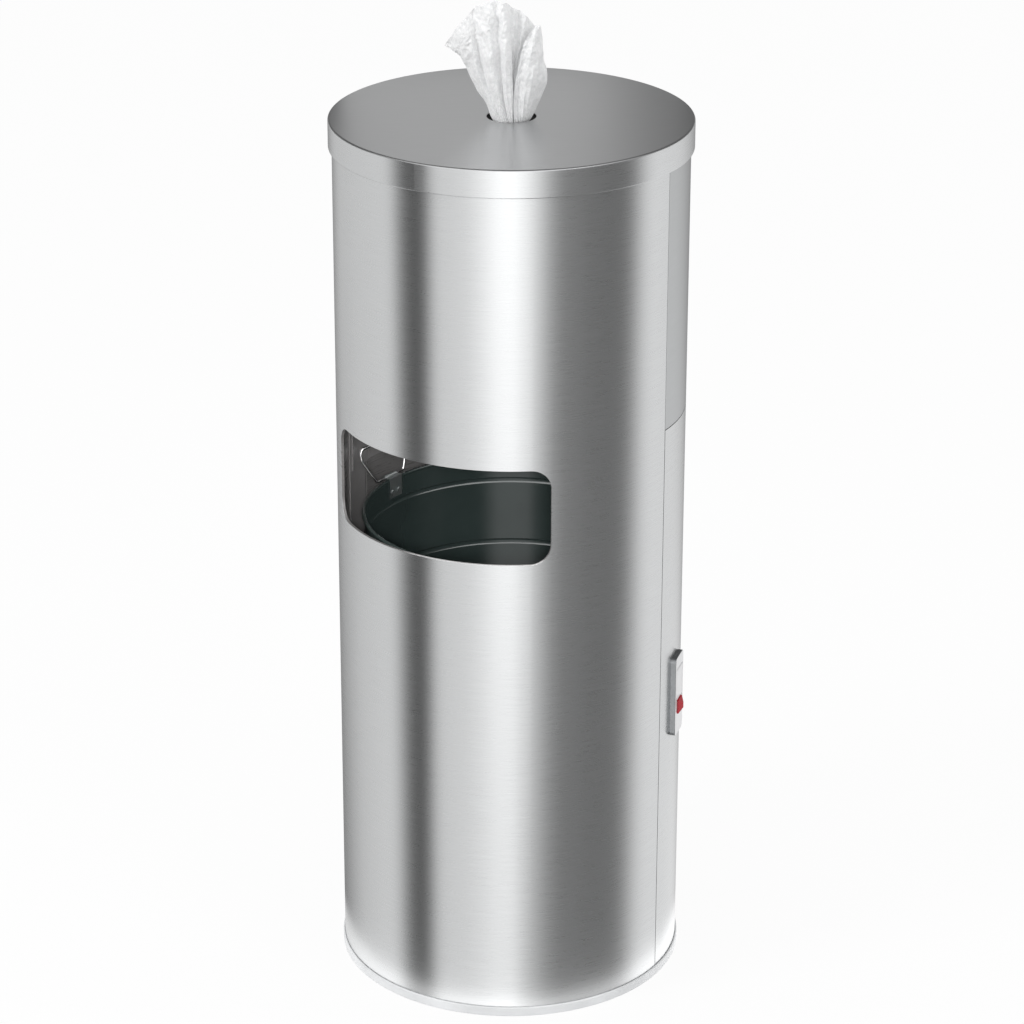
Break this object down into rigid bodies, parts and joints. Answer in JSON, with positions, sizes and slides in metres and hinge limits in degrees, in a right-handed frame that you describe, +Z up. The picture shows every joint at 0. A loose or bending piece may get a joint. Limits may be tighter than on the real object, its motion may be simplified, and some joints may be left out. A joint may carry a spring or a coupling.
{
  "type": "gym wipes dispenser with bin",
  "caption": "Round brushed-steel stand that feeds pull-up wipes through a hole in its lid, with a side disposal opening, a latched rear door and a lift-out inner bin with wire handles",
  "frame": {"origin": "centre of the base ring's underside, on the floor", "axes": "+Z up along the cylinder, disposal opening faces -Y, latch on the +X side, door at +Y"},
  "size_m": [0.3529, 0.352, 1.0048],
  "materials": {
    "shell_steel": "satin stainless, brush lines running round the cylinder",
    "lid_steel": "satin stainless, fine even brush",
    "inner_steel": "dull mill-finish sheet",
    "base_plastic": "light grey moulded, semi-matt",
    "bin_paint": "dark greenish black semi-gloss",
    "bright_wire": "bright plated wire",
    "zinc_steel": "zinc-plated, satin",
    "latch_cast": "cast metal, silver-white satin",
    "latch_tray_metal": "dark painted pressed sheet",
    "button_plastic": "smooth red moulded",
    "nozzle_plastic": "black moulded",
    "wipe_cloth": "thin translucent white nonwoven",
    "roll_cloth": "wound white nonwoven"
  },
  "bodies": {
    "cabinet": {"base_ring": "base_plastic", "base_plate": "inner_steel", "front_shell": "shell_steel", "rear_upper_panel": "shell_steel", "top_hoop": "inner_steel", "latch_jamb": "inner_steel", "hinge_jamb": "inner_steel", "wipes_shelf": "inner_steel", "wipes_roll": "roll_cloth", "strike_plate": "inner_steel", "hinge_1_fixed_leaf": "inner_steel", "hinge_2_fixed_leaf": "inner_steel", "hinge_3_fixed_leaf": "inner_steel", "hinge_1_pin": "zinc_steel", "hinge_2_pin": "zinc_steel", "hinge_3_pin": "zinc_steel"},
    "lid": {"lid": "lid_steel", "nozzle": "nozzle_plastic", "nozzle_stud_1": "zinc_steel", "nozzle_stud_2": "zinc_steel", "nozzle_stud_3": "zinc_steel", "nozzle_nut_1": "zinc_steel", "nozzle_nut_2": "zinc_steel", "nozzle_nut_3": "zinc_steel", "wipe": "wipe_cloth", "wipe_tail": "wipe_cloth"},
    "door": {"door_panel": "shell_steel", "hinge_1_door_leaf": "inner_steel", "hinge_2_door_leaf": "inner_steel", "hinge_3_door_leaf": "inner_steel", "door_rib_lower": "inner_steel", "door_rib_upper": "inner_steel", "latch_bezel": "latch_cast", "latch_tray": "latch_tray_metal", "paddle_pin": "zinc_steel", "hook_pin": "zinc_steel"},
    "paddle": {"latch_paddle": "latch_cast"},
    "button": {"push_button": "button_plastic"},
    "hook": {"latch_hook": "zinc_steel"},
    "bin": {"bin_wall": "bin_paint", "bin_bottom": "bin_paint", "bin_strap_left": "zinc_steel", "bin_strap_right": "zinc_steel", "strap_rivet_left_1": "zinc_steel", "strap_rivet_left_2": "zinc_steel", "strap_rivet_right_1": "zinc_steel", "strap_rivet_right_2": "zinc_steel"},
    "loop_left": {"handle_left": "bright_wire"},
    "loop_right": {"handle_right": "bright_wire"}
  },
  "joints": [
    {"name": "lid_lift", "type": "slide", "parent": "cabinet", "child": "lid", "axis": [0, 0, 1], "range_m": [0, 0.25]},
    {"name": "door_swing", "type": "hinge", "parent": "cabinet", "child": "door", "pos_m": [-0.1725, 0, 0.305], "axis": [0, 0, 1], "range_deg": [0, 120]},
    {"name": "paddle_swing", "type": "hinge", "parent": "door", "child": "paddle", "pos_m": [0.1699, 0.0411, 0.3295], "axis": [0.2351, -0.972, 0], "range_deg": [0, 40]},
    {"name": "button_press", "type": "slide", "parent": "door", "child": "button", "axis": [-0.972, -0.2351, 0], "range_m": [0, 0.003], "stiffness_N_per_m": 400},
    {"name": "hook_throw", "type": "hinge", "parent": "door", "child": "hook", "pos_m": [0.15357, 0.03715, 0.302], "axis": [0.972, 0.2351, 0], "range_deg": [0, 38]},
    {"name": "bin_lift", "type": "slide", "parent": "cabinet", "child": "bin", "axis": [0, 0, 1], "range_m": [0, 0.025]},
    {"name": "loop_left_fold", "type": "hinge", "parent": "bin", "child": "loop_left", "pos_m": [-0.15142, 0.01325, 0.48], "axis": [0.0872, 0.9962, 0], "range_deg": [0, 75]},
    {"name": "loop_right_fold", "type": "hinge", "parent": "bin", "child": "loop_right", "pos_m": [0.15142, -0.01325, 0.48], "axis": [-0.0872, -0.9962, 0], "range_deg": [0, 75]}
  ]
}
